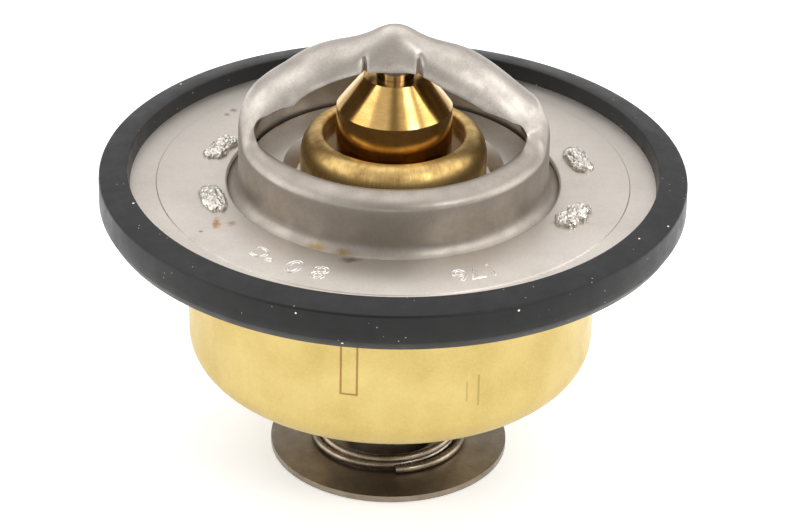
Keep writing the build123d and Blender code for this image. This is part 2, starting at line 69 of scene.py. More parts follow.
def add_node(material, kind, sockets=None, **settings):
    """Add a node with its settings; a socket takes a value or another node's output."""
    node = material.node_tree.nodes.new(kind)
    for name, value in settings.items():
        setattr(node, name, value)
    for name, value in (sockets or {}).items():
        if isinstance(value, bpy.types.NodeSocket):
            material.node_tree.links.new(value, node.inputs[name])
        else:
            node.inputs[name].default_value = value
    return node


# Stretch of the patterns: how far one radian round the axis counts, in metres, and the share of other lengths
TURNED_SWEEP = 0.0006
RADIAL_SWEEP = 0.012
RADIAL_SHARE = 0.12


def surface_point(material, lay):
    """Give the pattern's coordinates: as they lie, round the axis as a lathe leaves them, or out from it.

    The lay is even, turned or radial.
    """
    place = add_node(material, "ShaderNodeTexCoord").outputs["Object"]
    if lay == "even":
        return place
    parts = add_node(material, "ShaderNodeSeparateXYZ", {0: place}).outputs
    flat = add_node(material, "ShaderNodeCombineXYZ", {0: parts[0], 1: parts[1]}).outputs[0]
    radius = add_node(material, "ShaderNodeVectorMath", {0: flat}, operation="LENGTH").outputs["Value"]
    angle = add_node(material, "ShaderNodeMath", {0: parts[1], 1: parts[0]}, operation="ARCTAN2").outputs[0]
    along = TURNED_SWEEP if lay == "turned" else RADIAL_SWEEP
    across = 1.0 if lay == "turned" else RADIAL_SHARE
    sweep = add_node(material, "ShaderNodeMath", {0: angle, 1: along}, operation="MULTIPLY").outputs[0]
    out = add_node(material, "ShaderNodeMath", {0: radius, 1: across}, operation="MULTIPLY").outputs[0]
    rise = add_node(material, "ShaderNodeMath", {0: parts[2], 1: across}, operation="MULTIPLY").outputs[0]
    return add_node(material, "ShaderNodeCombineXYZ", {0: out, 1: sweep, 2: rise}).outputs[0]


# How much the grain adds to the blotches, and the range of both in which the tone goes from dark to light
GRAIN_SHARE = 0.45
TONE_LOW = 0.5
TONE_HIGH = 0.95


def finish(name, dark, light, metallic, roughness, blotch_mm, grain_mm, bump_mm, lay="even", spread=0.08):
    """Make a finish: two tones in blotches, and a grain that roughens and dents the surface.

    Blotches and grain are sizes in millimetres, and bump_mm is the depth of the grain.
    """
    material = bpy.data.materials.new(name)
    material.use_nodes = True
    shader = material.node_tree.nodes["Principled BSDF"]
    shader.inputs["Metallic"].default_value = metallic
    place = add_node(material, "ShaderNodeTexCoord").outputs["Object"]
    grain_place = surface_point(material, lay)
    blotch = add_node(material, "ShaderNodeTexNoise", {"Vector": place, "Scale": 1 / (blotch_mm * MM),
                                                       "Detail": 5.0, "Roughness": 0.6}).outputs[0]
    grain = add_node(material, "ShaderNodeTexNoise", {"Vector": grain_place, "Scale": 1 / (grain_mm * MM),
                                                      "Detail": 3.0, "Roughness": 0.65}).outputs[0]
    both = add_node(material, "ShaderNodeMath", {0: grain, 1: GRAIN_SHARE, 2: blotch},
                    operation="MULTIPLY_ADD").outputs[0]
    share = add_node(material, "ShaderNodeMapRange", {"Value": both, "From Min": TONE_LOW,
                                                      "From Max": TONE_HIGH}).outputs[0]
    tone = add_node(material, "ShaderNodeMix", {0: share, 6: linear(dark), 7: linear(light)},
                    data_type="RGBA")
    material.node_tree.links.new(tone.outputs[2], shader.inputs["Base Color"])
    rough = add_node(material, "ShaderNodeMapRange", {"Value": both, "From Min": TONE_LOW,
                                                      "From Max": TONE_HIGH,
                                                      "To Min": roughness + spread,
                                                      "To Max": roughness - spread})
    material.node_tree.links.new(rough.outputs[0], shader.inputs["Roughness"])
    if bump_mm:
        dents = add_node(material, "ShaderNodeBump", {"Height": grain, "Strength": 1.0,
                                                      "Distance": bump_mm * MM})
        material.node_tree.links.new(dents.outputs[0], shader.inputs["Normal"])
    return material


def lay_over(material, factor, colour):
    """Lay a colour over the finish where the factor is high."""
    shader = material.node_tree.nodes["Principled BSDF"]
    below = shader.inputs["Base Color"].links[0].from_socket
    tone = add_node(material, "ShaderNodeMix", {0: factor, 6: below, 7: linear(colour)}, data_type="RGBA")
    material.node_tree.links.new(tone.outputs[2], shader.inputs["Base Color"])


# A stain's ragged edge: grain in millimetres, depth, and the reach at which it is gone and at which it is full
RAGGED_MM = 0.7
RAGGED_DEPTH = 1.1
STAIN_GONE = 1.45
STAIN_FULL = 0.75


def stain(material, place_mm, size_mm, colour, strength, stretch=(1, 1, 1)):
    """Lay one ragged stain over the finish, at a place and of a size in millimetres."""
    place = add_node(material, "ShaderNodeTexCoord").outputs["Object"]
    mapping = add_node(material, "ShaderNodeMapping", {"Vector": place}, vector_type="TEXTURE")
    mapping.inputs["Location"].default_value = Vector(place_mm) * MM
    mapping.inputs["Scale"].default_value = Vector(stretch) * size_mm * MM
    reach = add_node(material, "ShaderNodeVectorMath", {0: mapping.outputs[0]},
                     operation="LENGTH").outputs["Value"]
    ragged = add_node(material, "ShaderNodeTexNoise", {"Vector": place, "Scale": 1 / (RAGGED_MM * MM),
                                                       "Detail": 3.0})
    edge = add_node(material, "ShaderNodeMath", {0: ragged.outputs[0], 1: RAGGED_DEPTH, 2: reach},
                    operation="MULTIPLY_ADD")
    factor = add_node(material, "ShaderNodeMapRange", {"Value": edge.outputs[0], "From Min": STAIN_GONE,
                                                       "From Max": STAIN_FULL, "To Min": 0.0,
                                                       "To Max": strength})
    lay_over(material, factor.outputs[0], colour)


def specks(material, spacing_mm, size_mm, share, colour):
    """Scatter specks of dust or dirt over the finish."""
    place = add_node(material, "ShaderNodeTexCoord").outputs["Object"]
    cells = add_node(material, "ShaderNodeTexVoronoi", {"Vector": place, "Scale": 1 / (spacing_mm * MM)})
    near = add_node(material, "ShaderNodeMath", {0: cells.outputs["Distance"], 1: size_mm / spacing_mm / 2},
                    operation="LESS_THAN").outputs[0]
    pick = add_node(material, "ShaderNodeSeparateColor", {0: cells.outputs["Color"]}).outputs[0]
    chosen = add_node(material, "ShaderNodeMath", {0: pick, 1: share}, operation="LESS_THAN").outputs[0]
    factor = add_node(material, "ShaderNodeMath", {0: near, 1: chosen}, operation="MULTIPLY").outputs[0]
    lay_over(material, factor, colour)


def band(material, low_mm, high_mm, colour, strength):
    """Lay a soft band of colour over the finish between two heights."""
    place = add_node(material, "ShaderNodeTexCoord").outputs["Object"]
    height = add_node(material, "ShaderNodeSeparateXYZ", {0: place}).outputs[2]
    factor = add_node(material, "ShaderNodeMapRange", {"Value": height, "From Min": low_mm * MM,
                                                       "From Max": high_mm * MM, "To Max": strength})
    lay_over(material, factor.outputs[0], colour)


# Share of a line's width that is full strength
LINE_CORE = 0.4


def outline(material, low_mm, high_mm, width_mm, colour, strength):
    """Lay a thin line round a rectangle of X and Z over the finish, on the side of negative Y."""
    place = add_node(material, "ShaderNodeTexCoord").outputs["Object"]
    parts = add_node(material, "ShaderNodeSeparateXYZ", {0: place}).outputs
    gaps = []
    for axis, low, high in ((0, low_mm[0], high_mm[0]), (2, low_mm[1], high_mm[1])):
        offset = add_node(material, "ShaderNodeMath", {0: parts[axis], 1: (low + high) / 2 * MM},
                          operation="SUBTRACT")
        reach = add_node(material, "ShaderNodeMath", {0: offset.outputs[0]},
                         operation="ABSOLUTE").outputs[0]
        gap = add_node(material, "ShaderNodeMath", {0: reach, 1: (high - low) / 2 * MM},
                       operation="SUBTRACT")
        gaps.append(gap.outputs[0])
    border = add_node(material, "ShaderNodeMath", {0: gaps[0], 1: gaps[1]}, operation="MAXIMUM").outputs[0]
    away = add_node(material, "ShaderNodeMath", {0: border}, operation="ABSOLUTE").outputs[0]
    line = add_node(material, "ShaderNodeMapRange", {"Value": away, "From Min": width_mm * MM,
                                                     "From Max": LINE_CORE * width_mm * MM,
                                                     "To Max": strength}).outputs[0]
    front = add_node(material, "ShaderNodeMath", {0: parts[1], 1: 0.0}, operation="LESS_THAN").outputs[0]
    factor = add_node(material, "ShaderNodeMath", {0: line, 1: front}, operation="MULTIPLY").outputs[0]
    lay_over(material, factor, colour)


# Moulded EPDM: deep grey-black with a soft sheen, and white dust that clings to it
rubber = finish("epdm_moulded_black", "#050505", "#0e0d0c", 0.0, 0.42, 2.5, 0.25, 0.004)
rubber.node_tree.nodes["Principled BSDF"].inputs["Specular IOR Level"].default_value = 0.34
specks(rubber, 0.8, 0.15, 0.22, "#8d8a85")
specks(rubber, 1.7, 0.3, 0.14, "#e2dfd9")

# Stamped stainless sheet: pale satin, a rolled skin with faint dirt
flange_steel = finish("stainless_stamped_satin", "#bfb8af", "#cdc5bc", 1.0, 0.46, 6.0, 0.35, 0.0025)
specks(flange_steel, 1.6, 0.16, 0.07, "#6f675c")
stain(flange_steel, (-19.6, -11.6, 34.9), 1.9, "#a8763c", 0.85, (0.35, 1, 1))
stain(flange_steel, (-17.9, -11.5, 34.9), 0.8, "#a98552", 0.7)
stain(flange_steel, (-21.2, -13.5, 34.9), 0.35, "#a8402c", 0.7)
stain(flange_steel, (-19.0, 16.3, 34.9), 0.6, "#8a6a44", 0.7)
stain(flange_steel, (-19.7, 15.2, 34.9), 0.5, "#8a6a44", 0.7)
stain(flange_steel, (19.8, -9.9, 34.9), 3.0, "#a99a6d", 0.6, (1, 0.22, 1))
stain(flange_steel, (-4.6, -19.4, 34.9), 1.6, "#6d6238", 0.7, (1, 0.5, 1))

# Deep-drawn stainless sheet: stretched skin, with painted shade that darkens the wall and shoulder below the
# strap, and dirt in the bend
bridge_steel = finish("stainless_drawn", "#a19990", "#c2bbb2", 1.0, 0.43, 3.0, 0.22, 0.004)
# painted shade: darker on the wall and shoulder, lighter on the strap above
band(bridge_steel, 44.0, 41.4, "#8a8175", 0.55)
specks(bridge_steel, 1.1, 0.12, 0.08, "#6b6357")
stain(bridge_steel, (-8.2, -16.3, 34.7), 2.2, "#8a7440", 0.7, (1, 0.6, 0.5))
stain(bridge_steel, (-5.4, -17.6, 34.7), 1.8, "#7d6437", 0.75, (1, 0.6, 0.5))
stain(bridge_steel, (-14.6, -11.6, 35.4), 0.7, "#7f4a35", 0.8)

# Blanked stainless plate of the valve: flat, smooth and light
plate_steel = finish("stainless_blanked", "#ccc5bd", "#dad4cc", 1.0, 0.42, 5.0, 0.3, 0.002)

# Zinc plate with yellow chromate: a thin iridescent film over bright zinc
cup_zinc = finish("zinc_yellow_chromate", "#c2aa66", "#d0ba78", 0.85, 0.42, 6.0, 0.3, 0.002)
band(cup_zinc, 13.5, 10.5, "#a39a55", 0.35)
outline(cup_zinc, (-5.38, 19.9), (-3.58, 34.0), 0.17, "#8a5f2a", 0.8)
outline(cup_zinc, (8.6, 18.6), (8.64, 21.0), 0.1, "#8b7c45", 0.45)
outline(cup_zinc, (9.9, 17.8), (9.94, 21.6), 0.13, "#8b7c45", 0.5)
specks(cup_zinc, 1.4, 0.13, 0.08, "#8b7c45")

# Turned brass of the guide: mirror-like along the tool marks
guide_brass = finish("brass_turned_bright", "#c1954f", "#dfbb78", 1.0, 0.17, 3.0, 0.16, 0.005,
                     "turned", 0.05)
# painted shade: the guide's flange goes dark in the gap under the pot's rolled collar
band(guide_brass, 40.6, 39.4, "#3a2414", 0.9)

# Rolled brass of the pot: dull, with rubbed lines out over the lip
pot_brass = finish("brass_rolled_dull", "#a88750", "#dcbd7b", 1.0, 0.44, 1.6, 0.3, 0.02, "radial", 0.1)

# Ground steel of the piston
piston_steel = finish("steel_ground", "#a89a84", "#c0b29a", 1.0, 0.14, 2.0, 0.1, 0.001, "turned", 0.04)

# Blued cold-rolled sheet of the bypass disc: brown-grey
disc_steel = finish("steel_cold_rolled_dark", "#85796a", "#a4998a", 1.0, 0.36, 3.0, 0.2, 0.003)
specks(disc_steel, 1.5, 0.15, 0.07, "#a39a8d")

# Drawn spring wire with its patenting skin
spring_wire = finish("spring_wire_drawn", "#7d7264", "#9d9284", 1.0, 0.28, 1.5, 0.1, 0.001)

# Soft steel crushed by the peening punch: bright torn facets
peened_steel = finish("steel_peened_raw", "#aaa398", "#e2ddd5", 1.0, 0.22, 0.6, 0.35, 0.02)

# The same stainless where the number punches raised a polished rim; its near-white colour is a painted
# highlight
rim_steel_painted_highlight = finish("stainless_punch_rim_painted_highlight", "#f1ede7", "#ffffff", 1.0, 0.3, 2.0, 0.2, 0.0)

# Plain inner pieces: washer steel, boot rubber and wax
washer_steel = finish("steel_washer_plain", "#8c8780", "#a5a099", 1.0, 0.35, 2.0, 0.2, 0.002)
boot_rubber = finish("nitrile_boot_black", "#1c1b1b", "#2b2a29", 0.0, 0.5, 2.0, 0.2, 0.003)
wax = finish("paraffin_wax_filled", "#8a5a3a", "#a06f4a", 0.0, 0.4, 2.0, 0.3, 0.003)

NODE_FINISHES = {
    "piston": piston_steel,
    "piston_guide": guide_brass,
    "valve_plate": plate_steel,
    "valve_retainer": washer_steel,
    "guide_bush": washer_steel,
    "guide_seal": boot_rubber,
    "backup_washer": washer_steel,
    "rubber_boot": boot_rubber,
    "wax_charge": wax,
    "bypass_stem": washer_steel,
    "stem_clip": washer_steel,
    "bypass_spring_seat": washer_steel,
    "bypass_disc": disc_steel,
}
for node_name, node_finish in NODE_FINISHES.items():
    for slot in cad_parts[node_name].material_slots:
        slot.material = node_finish


# Tools for the new pieces

def take(piece):
    """Make a piece the only selected and the active one."""
    bpy.ops.object.select_all(action="DESELECT")
    piece.select_set(True)
    bpy.context.view_layer.objects.active = piece


def sheet_of(name, points, faces):
    """Make an object from points in millimetres and the faces between them."""
    mesh = bpy.data.meshes.new(name)
    mesh.from_pydata([Vector(point) * MM for point in points], [], faces)
    piece = bpy.data.objects.new(name, mesh)
    bpy.context.scene.collection.objects.link(piece)
    take(piece)
    return piece


def apply_modifier(piece, kind, **settings):
    """Add a modifier with its settings and apply it."""
    take(piece)
    modifier = piece.modifiers.new(kind.lower(), kind)
    for name, value in settings.items():
        setattr(modifier, name, value)
    bpy.ops.object.modifier_apply(modifier=modifier.name)


def hand_over(piece, name, material, body="frame", smooth=35, stands_for=()):
    """Name a finished piece, give it its finish and let it ride on its body."""
    piece.name = name
    piece.data.name = name
    take(piece)
    bpy.ops.object.transform_apply(location=True, rotation=True, scale=True)
    piece.data.materials.clear()
    piece.data.materials.append(material)
    if smooth:
        bpy.ops.object.shade_smooth_by_angle(angle=math.radians(smooth))
    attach(piece, body)
    if stands_for:
        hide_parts(*stands_for)
    bpy.ops.object.select_all(action="DESELECT")


def spun(name, section, steps=144):
    """Spin a closed section of radius and height, in millimetres, about the axis."""
    edges = [(index, (index + 1) % len(section)) for index in range(len(section))]
    mesh = bpy.data.meshes.new(name)
    mesh.from_pydata([Vector((radius, 0, height)) * MM for radius, height in section], edges, [])
    piece = bpy.data.objects.new(name, mesh)
    bpy.context.scene.collection.objects.link(piece)
    take(piece)
    bpy.ops.object.mode_set(mode="EDIT")
    bpy.ops.mesh.select_all(action="SELECT")
    bpy.ops.mesh.spin(steps=steps, angle=2 * math.pi, center=(0, 0, 0), axis=(0, 0, 1))
    bpy.ops.mesh.select_all(action="SELECT")
    bpy.ops.mesh.remove_doubles(threshold=0.001 * MM)
    bpy.ops.mesh.normals_make_consistent(inside=False)
    bpy.ops.object.mode_set(mode="OBJECT")
    return piece


def rounding(radius, height, reach, start, end, steps=6, rise=None):
    """List the points of a rounded corner about its centre, from one angle in degrees to another.

    A rise makes the corner's round as high as that, where it isn't as high as it reaches out.
    """
    rise = reach if rise is None else rise
    turns = [math.radians(start + (end - start) * step / steps) for step in range(steps + 1)]
    return [(radius + reach * math.cos(turn), height + rise * math.sin(turn)) for turn in turns]


def polar(radius, angle):
    """Give X and Y of a radius and an angle in degrees."""
    return radius * math.cos(math.radians(angle)), radius * math.sin(math.radians(angle))


def ease(share):
    """Ease a share from 0 to 1."""
    share = min(max(share, 0.0), 1.0)
    return share * share * (3 - 2 * share)


def read_table(table, place):
    """Read a table of rows by its first column, eased by a spline through the rows."""
    rows = sorted(table)
    if place <= rows[0][0]:
        return rows[0][1:]
    if place >= rows[-1][0]:
        return rows[-1][1:]
    index = max(i for i in range(len(rows) - 1) if rows[i][0] <= place)
    before, start, end, after = (rows[max(min(index + step, len(rows) - 1), 0)] for step in (-1, 0, 1, 2))
    share = (place - start[0]) / (end[0] - start[0])
    values = []
    for column in range(1, len(start)):
        a, b, c, d = before[column], start[column], end[column], after[column]
        bend = 2 * a - 5 * b + 4 * c - d + share * (3 * (b - c) + d - a)
        values.append(b + 0.5 * share * (c - a + share * bend))
    return values


# Slots for the cup's tabs, in the flange and in the bridge's foot under it

TAB_TURNS = [14.8, 161.0, 196.4, 338.4]
TAB_MIDDLE = 21.45
SLOT_SIZE = (1.06, 3.76, 2.4)
SLOT_HEIGHT = 34.1


def cut_slots(piece):
    """Cut the four slots through a sheet."""
    for tab_turn in TAB_TURNS:
        bpy.ops.mesh.primitive_cube_add(size=1, location=(0, 0, 0))
        cutter = bpy.context.object
        turn = Matrix.Rotation(math.radians(tab_turn), 4, "Z")
        shift = Matrix.Translation(Vector((TAB_MIDDLE, 0, SLOT_HEIGHT)) * MM)
        cutter.data.transform(turn @ shift @ Matrix.Diagonal((*(Vector(SLOT_SIZE) * MM), 1)))
        apply_modifier(piece, "BOOLEAN", operation="DIFFERENCE", object=cutter, solver="FAST")
        bpy.data.objects.remove(cutter)


# Flange: blanked plate whose rim is coined a step lower, with a rounded hole

FLANGE_TOP = 34.9
FLANGE_BOTTOM = 34.1
FLANGE_RADIUS = 31.6
STEP_TOP = 34.75
FLANGE_SECTION = [(18.94, 34.34), (19.3, 34.16), (19.77, FLANGE_BOTTOM), (FLANGE_RADIUS, FLANGE_BOTTOM),
                  (FLANGE_RADIUS, STEP_TOP), (27.15, STEP_TOP), (27.02, 34.77), (26.92, 34.88),
                  (26.82, FLANGE_TOP), *rounding(19.24, 34.6, 0.3, 90, 180)]
flange = spun("flange", FLANGE_SECTION)
cut_slots(flange)
hand_over(flange, "coined_flange", flange_steel, smooth=30,
          stands_for=("flange_ring",))


# Seal: rubber channel whose top rises to a lip inside

SEAL_SECTION = [(29.95, STEP_TOP), (30.22, 36.42), *rounding(30.36, 36.42, 0.14, 180, 80, 4),
                (30.75, 36.55), (31.4, 36.43), (32.3, 36.24), *rounding(33.15, 35.65, 0.35, 80, 0),
                (33.5, 33.6), (33.5, 32.7), (33.38, 32.45), (32.85, 31.55), (32.73, 31.46), (32.6, 31.4),
                (28.9, 31.4), (28.9, FLANGE_BOTTOM), (FLANGE_RADIUS, FLANGE_BOTTOM),
                (FLANGE_RADIUS, STEP_TOP)]
seal = spun("seal", SEAL_SECTION)
hand_over(seal, "moulded_seal", rubber, smooth=30, stands_for=("seal_ring",))


# Wax pot: its collar is rolled over the guide's flange in a full round

POT_SECTION = [(0.0, 8.2), (8.8, 8.2), (9.4, 8.8), (9.4, 35.0), (10.45, 35.0), (10.6, 35.15),
               *rounding(8.5, 38.2, 2.1, 0, 88, 14, 2.85), *rounding(8.5, 40.58, 0.47, 90, 180),
               (8.03, 39.5), (9.5, 39.5), (9.5, 36.0), (8.4, 36.0), (8.4, 12.2), (0.0, 12.2)]
pot = spun("pot", POT_SECTION)
hand_over(pot, "rolled_pot", pot_brass, body="wax_element", smooth=40,
          stands_for=("wax_pot",))


# Drawn bridge: foot, bend, wall and shoulder in one sheet with the arched strap

WALL_RADIUS = 17.67
SHEET = 0.7
EDGE_ROUND = 0.11
FOOT_RADIUS = 24.4
FOOT_MIDDLE = 22.1
FOOT_TOP = -1.9
BEND_RADIUS = 2.1
BEND_CENTRE = (19.77, 0.2)
BEND_STEPS = 9
STRAP_START = 4.0
WALL_ROWS = (1.2, 2.1, 3.0, STRAP_START)
STRAP_HALF_WIDTH = 4.0
STRAP_COLUMNS = 20
RIM_COLUMNS = 66
RIM_CROWDING = 0.45
LIP_ROWS = 10
LIP_RISE = 1.5
LIP_HEIGHT = 5.5
CORNER_LEAN = 1.4
CORNER_LEAN_REACH = 4
ROOT_ANGLE = math.degrees(math.asin(STRAP_HALF_WIDTH / WALL_RADIUS))

# Window edge beside each foot: angle from the strap, radius and height, above the rubber's top
LEFT_WINDOW = [(ROOT_ANGLE, 16.0, 7.1), (14.5, 16.02, 6.45), (16.0, 16.05, 5.95), (18.0, 16.1, 5.7),
               (21.0, 15.95, 5.58), (26.0, 15.7, LIP_HEIGHT), (34.0, 15.45, LIP_HEIGHT),
               (45.0, 15.2, LIP_HEIGHT), (90.0, 15.15, LIP_HEIGHT)]
RIGHT_WINDOW = [(ROOT_ANGLE, 15.05, 6.8), (14.5, 15.15, 6.2), (16.5, 15.2, 5.85), (19.0, 15.2, 5.6),
                (23.0, 15.15, LIP_HEIGHT), (45.0, 15.15, LIP_HEIGHT), (90.0, 15.15, LIP_HEIGHT)]

# Strap from foot to foot: place, crest x and z, edge x and z, half width, and the arch's half angle
STRAP = [
    (0.0, -17.35, 7.3, -15.5, 7.1, 4.0, 52),
    (1.0, -16.85, 8.75, -15.0, 7.85, 4.0, 60),
    (2.0, -16.1, 9.95, -14.35, 8.5, 4.0, 66),
    (3.0, -15.1, 11.0, -13.5, 9.1, 4.0, 72),
    (4.0, -13.9, 11.98, -12.5, 9.6, 4.0, 77),
    (5.0, -12.5, 12.98, -11.4, 9.85, 4.0, 82),
    (6.0, -11.2, 13.9, -10.5, 10.8, 4.0, 85),
    (7.0, -9.9, 14.7, -9.4, 11.6, 4.0, 87),
    (8.0, -8.5, 15.32, -8.1, 12.3, 3.95, 88),
    (9.0, -6.9, 15.8, -6.6, 13.0, 3.85, 88),
    (10.0, -5.2, 16.2, -5.0, 13.45, 3.6, 86),
    (11.0, -3.5, 16.6, -3.4, 13.75, 3.3, 84),
    (12.0, -1.8, 16.86, -1.75, 13.76, 3.1, 84),
    (13.0, 0.0, 16.86, 0.0, 13.72, 3.08, 84),
    (14.0, 1.8, 16.75, 1.75, 13.74, 3.1, 84),
    (15.0, 3.5, 16.42, 3.4, 13.3, 3.4, 86),
    (16.0, 5.2, 16.0, 4.95, 12.5, 3.75, 88),
    (17.0, 6.8, 15.6, 6.3, 11.85, 3.95, 88),
    (18.0, 8.3, 15.1, 7.6, 11.2, 4.0, 87),
    (19.0, 9.7, 14.3, 8.9, 10.45, 4.0, 84),
    (20.0, 11.1, 13.35, 10.1, 9.65, 4.0, 80),
    (21.0, 12.5, 12.2, 11.3, 9.2, 4.0, 75),
    (22.0, 13.8, 11.05, 12.4, 8.75, 4.0, 70),
    (23.0, 15.0, 10.0, 13.35, 8.2, 4.0, 64),
    (24.0, 16.2, 8.95, 14.1, 7.5, 4.0, 58),
    (25.0, 17.1, 7.0, 14.5, 6.8, 4.0, 52),
]
STRAP_STEPS = 6
NIPPLE_RISE = 1.36
NIPPLE_REACH = 2.75
NIPPLE_SIDE_SHARE = 0.8
NIPPLE_FALL = 2.2
NIPPLE_FADE = 0.6
CREASES = (-3.42, 2.68)
CREASE_WIDTH = 0.22
CREASE_DEPTH = 0.9
CREASE_START = 0.5
CREASE_FADE = 0.35
CORNERS = ((-15.5, 4.0, 7.0), (-15.5, -4.0, 7.0), (14.5, 4.0, 6.7), (14.5, -4.0, 6.7))
CORNER_REACH = 2.2
CORNER_ROUNDS = 7
CORNER_HOLD = 1.6


def lip_point(angle, share, window):
    """Give radius and height on the rounded shoulder, from the wall at 0 to the window's edge at 1."""
    edge_radius, edge_height = read_table(window, min(angle, 180 - angle, 90))
    turn = share * math.pi / 2
    reach = WALL_RADIUS - edge_radius
    rise = min(edge_height - STRAP_START, LIP_RISE + 2 * max(edge_height - LIP_HEIGHT, 0))
    start = edge_height - rise
    low = STRAP_START + (start - STRAP_START) * min(share * 3, 1)
    return edge_radius + reach * math.cos(turn), low + (edge_height - low) * math.sin(turn)


def arch_point(crest_x, crest_z, edge_x, edge_z, half_width, spread, side):
    """Give a point on the strap's arched sheet: edges at -1 and 1, the crest at 0."""
    turn = math.radians(spread)
    drop = (1 - math.cos(side * turn)) / (1 - math.cos(turn))
    y = half_width * math.sin(side * turn) / math.sin(turn)
    x = crest_x + (edge_x - crest_x) * drop
    z = crest_z + (edge_z - crest_z) * drop
    crease = sum(math.exp(-((x - place) / CREASE_WIDTH) ** 2) for place in CREASES)
    y -= math.copysign(CREASE_DEPTH * crease * ease((abs(side) - CREASE_START) / CREASE_FADE), y)
    away = math.hypot(x, NIPPLE_SIDE_SHARE * y) / NIPPLE_REACH
    bump = NIPPLE_RISE * math.exp(-away ** NIPPLE_FALL) * ease((1 - abs(side)) / NIPPLE_FADE)
    return x, y, RUBBER_TOP + z + bump


def bridge_columns():
    """List the sheet's columns round the axis: a foot's columns carry their place across the strap."""
    columns = []
    for foot in (0, 180):
        for step in range(STRAP_COLUMNS + 1):
            side = -1 + 2 * step / STRAP_COLUMNS
            columns.append((foot + side * ROOT_ANGLE, side, foot))
        for step in range(1, RIM_COLUMNS):
            # the columns stand closer together beside the feet
            share = step / RIM_COLUMNS
            share = (1 - RIM_CROWDING) * share + RIM_CROWDING * ease(share)
            columns.append((foot + ROOT_ANGLE + (180 - 2 * ROOT_ANGLE) * share, None, foot))
    return columns


def relax(points, faces):
    """Draw the sheet smooth round the four window corners, as the die's rounded corners do."""
    beside = {}
    for face in faces:
        for before, after in zip(face, face[1:] + face[:1]):
            beside.setdefault(before, set()).add(after)
            beside.setdefault(after, set()).add(before)
    points = [Vector(point) for point in points]
    weights = {}
    for x, y, height in CORNERS:
        for index, point in enumerate(points):
            share = 1 - (point - Vector((x, y, RUBBER_TOP + height))).length / CORNER_REACH
            if share > 0:
                weights[index] = max(weights.get(index, 0), ease(share * CORNER_HOLD))
    for _ in range(CORNER_ROUNDS):
        moved = {}
        for index, weight in weights.items():
            middle = sum((points[other] for other in beside[index]), Vector()) / len(beside[index])
            moved[index] = points[index].lerp(middle, 0.5 * weight)
        for index, point in moved.items():
            points[index] = point
    return points


def bridge_sheet():
    """Build the outer skin of the bridge as one grid with two window openings."""
    columns = bridge_columns()
    rows = [(FOOT_RADIUS, FOOT_TOP), (FOOT_MIDDLE, FOOT_TOP)]
    rows += rounding(*BEND_CENTRE, BEND_RADIUS, 270, 180, BEND_STEPS)
    rows += [(WALL_RADIUS, height) for height in WALL_ROWS]
    points, faces = [], []
    for radius, height in rows:
        for angle, _, _ in columns:
            turn = math.radians(angle)
            points.append((radius * math.cos(turn), radius * math.sin(turn), RUBBER_TOP + height))
    for step in range(1, LIP_ROWS + 1):
        share = step / LIP_ROWS
        for angle, side, foot in columns:
            from_foot = abs(angle) if foot == 0 and side is not None else abs(angle - foot)
            near_left = (foot == 180 and angle < 270) or (foot == 0 and angle > 90)
            if side is None:
                gap = from_foot if from_foot <= 90 else 180 - from_foot
                window = LEFT_WINDOW if near_left else RIGHT_WINDOW
                radius, height = lip_point(gap, share, window)
                lean = CORNER_LEAN * math.exp(-(gap - ROOT_ANGLE) / CORNER_LEAN_REACH) * ease(share)
                turn = math.radians(angle + (lean if from_foot <= 90 else -lean))
                points.append((radius * math.cos(turn), radius * math.sin(turn), RUBBER_TOP + height))
                continue
            sign = 1 if foot == 0 else -1
            window, end = (RIGHT_WINDOW, STRAP[-1]) if foot == 0 else (LEFT_WINDOW, STRAP[0])
            radius, height = lip_point(ROOT_ANGLE, share, window)
            edge_x = sign * math.sqrt(radius ** 2 - STRAP_HALF_WIDTH ** 2)
            crest_x = sign * WALL_RADIUS + (end[1] - sign * WALL_RADIUS) * share ** 3
            crest_z = STRAP_START + (end[2] - STRAP_START) * share
            spread = ROOT_ANGLE + (end[6] - ROOT_ANGLE) * ease(share)
            x, y, z = arch_point(crest_x, crest_z, edge_x, height, STRAP_HALF_WIDTH, spread, side * sign)
            points.append((x, y, z))
    count = len(columns)
    for row in range(len(rows) + LIP_ROWS - 1):
        for column in range(count):
            after = (column + 1) % count
            faces.append((row * count + column, (row + 1) * count + column,
                          (row + 1) * count + after, row * count + after))
    top = (len(rows) + LIP_ROWS - 1) * count
    left_foot = top + STRAP_COLUMNS + RIM_COLUMNS
    last = [left_foot + STRAP_COLUMNS - step for step in range(STRAP_COLUMNS + 1)]
    stations = (len(STRAP) - 1) * STRAP_STEPS
    for station in range(1, stations + 1):
        if station < stations:
            values = read_table(STRAP, station / STRAP_STEPS)
            line = []
            for step in range(STRAP_COLUMNS + 1):
                line.append(len(points))
                points.append(arch_point(*values, -1 + 2 * step / STRAP_COLUMNS))
        else:
            line = [top + step for step in range(STRAP_COLUMNS + 1)]
        for step in range(STRAP_COLUMNS):
            faces.append((last[step], line[step], line[step + 1], last[step + 1]))
        last = line
    return sheet_of("bridge_sheet", relax(points, faces), faces)


bridge = bridge_sheet()
bpy.ops.object.mode_set(mode="EDIT")
bpy.ops.mesh.select_all(action="SELECT")
bpy.ops.mesh.normals_make_consistent(inside=False)
bpy.ops.object.mode_set(mode="OBJECT")
# the skin's foot faces up, and the sheet's thickness goes down and inwards from it
if bridge.data.polygons[0].normal.z < 0:
    bridge.data.flip_normals()
apply_modifier(bridge, "SOLIDIFY", thickness=SHEET * MM, offset=-1, use_even_offset=True,
               use_quality_normals=True)

cut_slots(bridge)
apply_modifier(bridge, "BEVEL", width=EDGE_ROUND * MM, segments=2, limit_method="ANGLE",
               angle_limit=math.radians(55))

